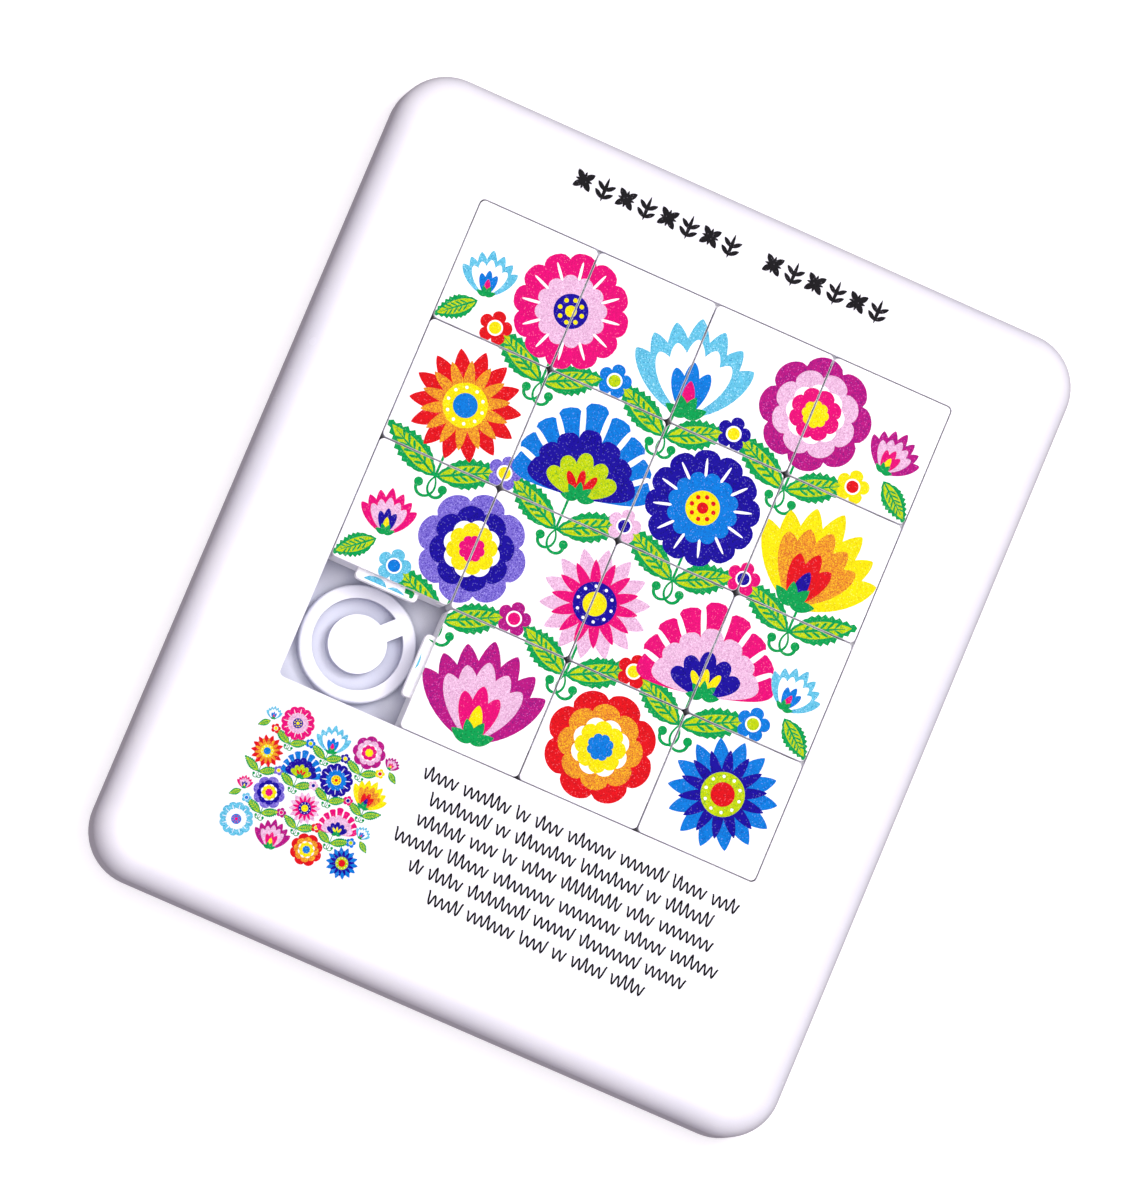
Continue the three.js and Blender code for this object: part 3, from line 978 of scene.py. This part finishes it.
def make_tile():
    """The tile that all 15 are copies of: a hollow block with two tongues and two grooves."""
    half = TILE / 2
    past = half + OVER
    body = as_object("tile", rounded_block(TILE, TILE, TILE_CORNER, TILE_BOTTOM, FACE_Z, TILE_EDGE,
                                           TILE_FOOT_EDGE, edge_count=TILE_EDGE_STEPS))
    left, lower = (rounded_block(2 * TONGUE_REACH, TONGUE_LENGTH, TONGUE_CORNER, TONGUE_LOW, TONGUE_HIGH,
                                 TONGUE_EDGE) for _ in range(2))
    pocket = rounded_rectangle(POCKET, POCKET, POCKET_CORNER)
    with_booleans(body, [
        (CUT, prism(pocket, TILE_BOTTOM - OVER, TILE_BOTTOM + POCKET_DEPTH)),
        (CUT, block((half - GROOVE_DEPTH, -past, GROOVE_LOW), (past, past, GROOVE_HIGH))),
        (CUT, block((-past, half - GROOVE_DEPTH, GROOVE_LOW), (past, past, GROOVE_HIGH))),
        (JOIN, moved(left, -half, 0)),
        (JOIN, moved(lower, 0, -half, math.pi / 2)),
    ])
    give_surface(body, TILE_PLASTIC)
    return body


def place_tiles():
    """Copies of the tile in every cell but the empty one, each on its own body."""
    pattern = make_tile()
    for row, column in CELL_PLACES:
        if (row, column) == EMPTY_CELL:
            continue
        name = f"tile_row{row}_col{column}"
        piece = pattern.copy()
        piece.data = pattern.data.copy()
        piece.name = piece.data.name = f"moulded_{name}"
        bpy.context.scene.collection.objects.link(piece)
        piece.location = (*cell_centre(row, column), 0)
        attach(piece, name)
        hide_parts(name)
    bpy.data.objects.remove(pattern)


def bezel_ribs():
    """The two ribs between the window's lower wall and the case's lower wall."""
    low = CASE_LOW.y + CASE_WALL / 2
    high = FIELD_Y - WINDOW / 2 - WINDOW_WALL + ROOT
    half = RIB_THICKNESS / 2
    return merged([block((x - half, low, BED_FLOOR), (x + half, high, FACE_BOTTOM + ROOT))
                   for x in (-RIB_X, RIB_X)])


def window_outline(grow):
    size = WINDOW + 2 * grow
    return rounded_rectangle(size, size, WINDOW_CORNER + grow, 6, (FIELD_X, FIELD_Y))


def make_bezel():
    """The front shell: window walls with two grooves and two rails, ribs, and sockets for the pegs."""
    width, length = CASE_HIGH.x - CASE_LOW.x, CASE_HIGH.y - CASE_LOW.y
    body = as_object("moulded_front_bezel", rounded_block(
        width, length, CASE_CORNER, CASE_LOW.z, FACE_Z, CASE_EDGE, CASE_FOOT_EDGE, 14, 14))
    cavity = rounded_block(width - 2 * CASE_WALL, length - 2 * CASE_WALL, CASE_CORNER - CASE_WALL,
                           -OVER, FACE_BOTTOM, CAVITY_EDGE, steps=10, edge_count=3)
    wall_size = WINDOW + 2 * WINDOW_WALL
    walls = rounded_rectangle(wall_size, wall_size, WALL_CORNER, 4, (FIELD_X, FIELD_Y))
    root = FACE_BOTTOM + ROOT
    sockets = [prism(circle(SOCKET_RADIUS, 32, place), BED_FLOOR, root) for place in PEG_PLACES]
    bores = [prism(circle(SOCKET_BORE, 24, place), -OVER, SOCKET_TOP) for place in PEG_PLACES]
    left, right = FIELD_X - WINDOW / 2, FIELD_X + WINDOW / 2
    bottom, top = FIELD_Y - WINDOW / 2, FIELD_Y + WINDOW / 2
    left_groove = block((left - GROOVE_DEPTH, bottom, GROOVE_LOW), (left + OVER, top, GROOVE_HIGH))
    lower_groove = block((left, bottom - GROOVE_DEPTH, GROOVE_LOW), (right, bottom + OVER, GROOVE_HIGH))
    rail_end = right + OVER, top + OVER, TONGUE_HIGH
    with_booleans(body, [
        (CUT, cavity),
        (JOIN, prism(walls, BED_FLOOR, root)),
        (JOIN, bezel_ribs()),
        (JOIN, merged(sockets)),
        (CUT, merged(bores)),
        (CUT, flared(window_outline, -OVER, FACE_Z, WINDOW_EDGE, 4)),
        (CUT, left_groove),
        (CUT, lower_groove),
        (JOIN, block((right - TONGUE_REACH, bottom + RAIL_END_GAP, TONGUE_LOW), rail_end)),
        (JOIN, block((left + RAIL_END_GAP, top - TONGUE_REACH, TONGUE_LOW), rail_end)),
    ])
    give_surface(body, WHITE_PLASTIC)
    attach(body, "case")
    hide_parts("front_bezel")


def channel_outline(grow):
    """The C-shaped channel of a boss, widened by grow on every side."""
    outer, inner, half_spoke = CHANNEL_OUTER + grow, CHANNEL_INNER - grow, SPOKE_WIDTH / 2 - grow
    arc_steps = 56
    points = []
    for radius, order in ((outer, 1), (inner, -1)):
        start = math.asin(half_spoke / radius)
        angles = [start + (2 * math.pi - 2 * start) * step / arc_steps for step in range(arc_steps + 1)]
        for angle in angles[::order]:
            turn = SPOKE_ANGLE + angle
            points.append((radius * math.cos(turn), radius * math.sin(turn)))
    return points


def make_boss():
    """One ring boss of the bed, with its channel."""
    boss = as_object("boss", pillar(BOSS_RADIUS, COVER_THICKNESS - ROOT, BOSS_TOP, BOSS_EDGE, 5, 72))
    with_booleans(boss, [(CUT, flared(channel_outline, COVER_THICKNESS, BOSS_TOP, CHANNEL_EDGE, 2))])
    mesh = bmesh.new()
    mesh.from_mesh(boss.data)
    bpy.data.objects.remove(boss)
    return mesh


def mould_marks():
    """The shallow rounds that the ejector pins and the gate leave in the underside."""
    marks = [prism(circle(EJECTOR_RADIUS, 32, place), -OVER, EJECTOR_DEPTH) for place in EJECTOR_PLACES]
    return merged(marks + [prism(circle(GATE_RADIUS, 24, GATE_PLACE), -OVER, GATE_DEPTH)])


def make_cover():
    """The back plate, with a boss under every cell and the pegs that hold it in the bezel."""
    width, length = COVER_HIGH.x - COVER_LOW.x, COVER_HIGH.y - COVER_LOW.y
    corner = CASE_CORNER - (CASE_HIGH.x - COVER_HIGH.x)
    body = as_object("moulded_back_cover", rounded_block(
        width, length, corner, COVER_LOW.z, COVER_THICKNESS, COVER_EDGE, COVER_FOOT_EDGE, 12, 3))
    boss = make_boss()
    bosses = [moved(boss.copy(), *cell_centre(*place)) for place in CELL_PLACES]
    boss.free()
    pegs = [pillar(PEG_RADIUS, COVER_THICKNESS - ROOT, COVER_HIGH.z, PEG_EDGE, 3, 24, place)
            for place in PEG_PLACES]
    with_booleans(body, [
        (JOIN, merged(bosses)),
        (JOIN, merged(pegs)),
        (CUT, mould_marks()),
    ])
    give_surface(body, COVER_PLASTIC)
    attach(body, "case")
    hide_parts("back_cover")


# ---- studio ----
VIEW_TILT = math.radians(10.4)  # the view leans this far from straight down, towards the lower left
VIEW_LEAN = math.radians(227.5)  # direction of that lean, anticlockwise from +X
PICTURE_ROLL = math.radians(23.72)  # +X runs this far below the image's right
FRAME_HEIGHT = 128.9 * MM  # what the image's full height covers at the face
SENSOR = 36.0
VIEW_DISTANCE = 1.1
LOOK_RIGHT, LOOK_DOWN = -5.6 * MM, -6.4 * MM  # from the tile field's centre to the middle of the image
FLOOR_REACH, SWEEP_RADIUS = 3.0, 1.6  # the floor's half width, and the curve of the paper behind it
HORIZON_LIGHT, OVERHEAD_LIGHT = 0.3, 3.6  # the dome of light is brightest straight above
HORIZON_TINT, OVERHEAD_TINT = (0.9, 0.79, 0.93, 1), (0.99, 0.99, 1, 1)
OVERHEAD_FALL = 6.0  # how steeply the dome darkens from overhead towards the horizon
FLOOR_DROP = 0.05 * MM  # the floor lies just clear of the case
PAPER, PAPER_CLOUD = (0.62, 0.6, 0.61, 1), (0.6, 0.585, 0.6, 1)
KEY_PLACE, KEY_SIZE, KEY_POWER = (0.3, 0.36, 0.85), 0.35, 4.0


def make_camera():
    """A long lens that looks almost straight down, leaning towards the lower left."""
    data = bpy.data.cameras.new("camera")
    camera = in_scene("camera", data)
    field = Vector((FIELD_X, FIELD_Y, FACE_Z))
    lean = Vector((math.cos(VIEW_LEAN), math.sin(VIEW_LEAN), 0))
    back = (lean * math.sin(VIEW_TILT) + Vector((0, 0, math.cos(VIEW_TILT)))).normalized()
    level = Vector((math.cos(PICTURE_ROLL), math.sin(PICTURE_ROLL), 0))
    right = (level - back * level.dot(back)).normalized()
    up = back.cross(right)
    target = field + right * LOOK_RIGHT + up * LOOK_DOWN
    camera.matrix_world = Matrix.Translation(target + back * VIEW_DISTANCE) @ Matrix(
        (right, up, back)).transposed().to_4x4()
    data.sensor_fit = "VERTICAL"
    data.sensor_height = data.sensor_width = SENSOR
    data.lens = SENSOR * VIEW_DISTANCE / FRAME_HEIGHT
    data.clip_start, data.clip_end = 0.05, 10
    bpy.context.scene.camera = camera


def key_light():
    """The one lamp: a soft disk above the top right, aimed at the middle of the case."""
    data = bpy.data.lights.new("key", "AREA")
    data.shape, data.size, data.energy = "DISK", KEY_SIZE, KEY_POWER
    lamp = in_scene("key", data)
    lamp.location = KEY_PLACE
    lamp.rotation_euler = (-Vector(KEY_PLACE)).to_track_quat("-Z", "Y").to_euler()


def pale_paper():
    """The matt backdrop paper, pale enough to read as white behind the object."""
    made, tree = new_material("pale_paper")
    cloud = noise(tree, node(tree, "TexCoord").outputs["Object"], 3, 2)
    finish_shader(tree, {
        "Base Color": blend_colour(tree, ramp(tree, cloud, 0.4, 0.6), PAPER, PAPER_CLOUD),
        "Roughness": 0.9,
        "Specular IOR Level": 0.1,
        "Emission Color": (1, 1, 1, 1),
        "Emission Strength": 0.5,
    })
    return made


def make_floor(paper):
    bed = bmesh.new()
    bmesh.ops.create_grid(bed, x_segments=8, y_segments=8, size=FLOOR_REACH)
    floor = as_object("floor", bed)
    floor.data.materials.append(paper)
    floor.location.z = -FLOOR_DROP
    floor.visible_diffuse = floor.visible_glossy = False


def make_backdrop(paper):
    """The paper's sweep up from the floor, all round. Only the camera sees it, so it blocks no light."""
    sweep = bmesh.new()
    loops = []
    for inset, rise in edge_steps(SWEEP_RADIUS, 16):
        loops.append([sweep.verts.new((x, y, rise)) for x, y in circle(FLOOR_REACH - inset, 96)])
    for outer, inner in zip(loops, loops[1:]):
        for face in join_loops(sweep, inner, outer):
            face.smooth = True
    backdrop = as_object("backdrop", sweep)
    backdrop.data.materials.append(paper)
    for ray in ("diffuse", "glossy", "transmission", "shadow"):
        setattr(backdrop, "visible_" + ray, False)


def make_studio():
    paper = pale_paper()
    make_floor(paper)
    make_backdrop(paper)
    world = bpy.data.worlds.new("studio")
    world.use_nodes = True
    tree = world.node_tree
    height = node(tree, "SeparateXYZ", {0: node(tree, "TexCoord").outputs["Generated"]}).outputs["Z"]
    overhead = maths(tree, "POWER", ramp(tree, height, 0, 1), OVERHEAD_FALL)
    back = tree.nodes["Background"]
    tree.links.new(blend_colour(tree, overhead, HORIZON_TINT, OVERHEAD_TINT), back.inputs["Color"])
    tree.links.new(ramp(tree, overhead, 0, 1, HORIZON_LIGHT, OVERHEAD_LIGHT), back.inputs["Strength"])
    bpy.context.scene.world = world
    key_light()
    view = bpy.context.scene.view_settings
    view.view_transform, view.look = "Standard", "None"
    view.exposure, view.gamma = 0, 1


make_camera()
make_studio()
make_bezel()
make_cover()
place_tiles()
print_pictures()
outline_print("title_print", title_ornament())
outline_print("small_lines_print", small_lines())
